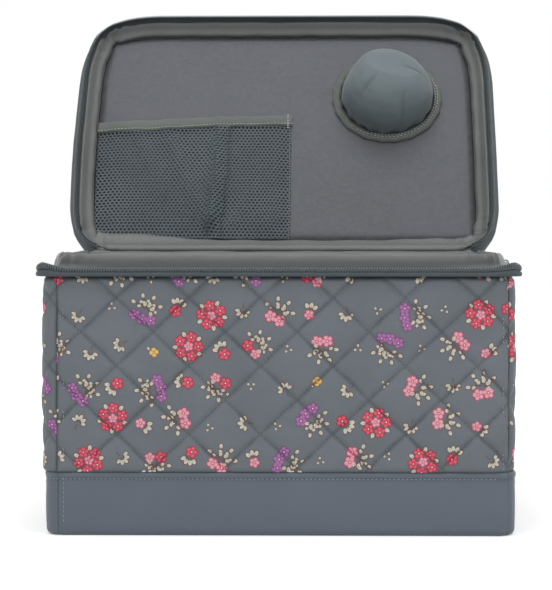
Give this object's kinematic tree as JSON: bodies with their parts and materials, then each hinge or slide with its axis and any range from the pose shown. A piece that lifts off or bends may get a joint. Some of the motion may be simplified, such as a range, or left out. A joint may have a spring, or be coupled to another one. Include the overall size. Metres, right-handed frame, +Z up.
{
  "type": "sewing box",
  "caption": "Soft quilted sewing box with a zip-around lid, standing open, with a net pocket and a dome pincushion inside the lid and a rolled handle outside.",
  "frame": {"origin": "middle of the underside", "axes": "+Z up, -Y towards the front that the zip opens at, +X to the right as seen from the front"},
  "size_m": [0.3276, 0.3619, 0.369],
  "materials": {
    "printed_quilting": "soft quilted cotton with a small floral print",
    "plain_satin": "plain satin-weave cloth with a faint sheen",
    "board": "matte grey stiffening board, inside the walls",
    "olive_lining": "smooth olive lining with a faint sheen",
    "mauve_lining": "smooth lining in shadow",
    "zip_tape": "woven tape",
    "zip_coil": "nylon coil",
    "net": "knitted net",
    "binding": "folded binding tape, machine stitched",
    "cushion_cloth": "smooth cloth over stuffing",
    "slider_metal": "dull plated metal"
  },
  "bodies": {
    "case": {"front_cover": "printed_quilting", "back_cover": "printed_quilting", "left_cover": "printed_quilting", "right_cover": "printed_quilting", "front_band": "plain_satin", "back_band": "plain_satin", "left_band": "plain_satin", "right_band": "plain_satin", "bottom_cover": "plain_satin", "front_board": "board", "back_board": "board", "left_board": "board", "right_board": "board", "base_board": "board", "lining_front": "olive_lining", "lining_back": "olive_lining", "lining_left": "olive_lining", "lining_right": "olive_lining", "lining_base": "olive_lining", "rim_lip": "olive_lining", "case_zip_tape": "zip_tape", "case_zip_chain": "zip_coil", "zip_stop_left": "slider_metal", "zip_stop_right": "slider_metal", "hinge_flap_case": "plain_satin"},
    "lid": {"hinge_flap_lid": "plain_satin", "lid_zip_tape": "zip_tape", "lid_zip_chain": "zip_coil", "lid_side_band": "printed_quilting", "lid_quilt_panel": "printed_quilting", "lid_board": "board", "lid_lining_panel": "mauve_lining", "lid_rim_roll": "olive_lining", "pocket_net": "net", "pocket_binding": "binding", "pincushion": "cushion_cloth", "pincushion_ring": "binding", "handle_tab_left": "plain_satin", "handle_tab_right": "plain_satin"},
    "handle": {"handle": "printed_quilting"},
    "slider_left": {"slider_left": "slider_metal"},
    "slider_right": {"slider_right": "slider_metal"},
    "pull_left": {"pull_left": "slider_metal"},
    "pull_right": {"pull_right": "slider_metal"}
  },
  "joints": [
    {"name": "lid_hinge", "type": "hinge", "parent": "case", "child": "lid", "pos_m": [0, 0.113, 0.1805], "axis": [1, 0, 0], "range_deg": [0, 124.2]},
    {"name": "handle_flop", "type": "hinge", "parent": "lid", "child": "handle", "pos_m": [0, 0.19397, 0.2621], "axis": [1, 0, 0], "range_deg": [-19.2, 130.8]},
    {"name": "slider_left_run", "type": "slide", "parent": "case", "child": "slider_left", "axis": [0, -1, 0], "range_m": [0, 0.172]},
    {"name": "slider_right_run", "type": "slide", "parent": "case", "child": "slider_right", "axis": [0, -1, 0], "range_m": [0, 0.172]},
    {"name": "pull_left_swing", "type": "hinge", "parent": "slider_left", "child": "pull_left", "pos_m": [-0.1613, 0.086, 0.174], "axis": [0, 1, 0], "range_deg": [-8, 110]},
    {"name": "pull_right_swing", "type": "hinge", "parent": "slider_right", "child": "pull_right", "pos_m": [0.1613, 0.086, 0.174], "axis": [0, -1, 0], "range_deg": [-8, 110]}
  ]
}
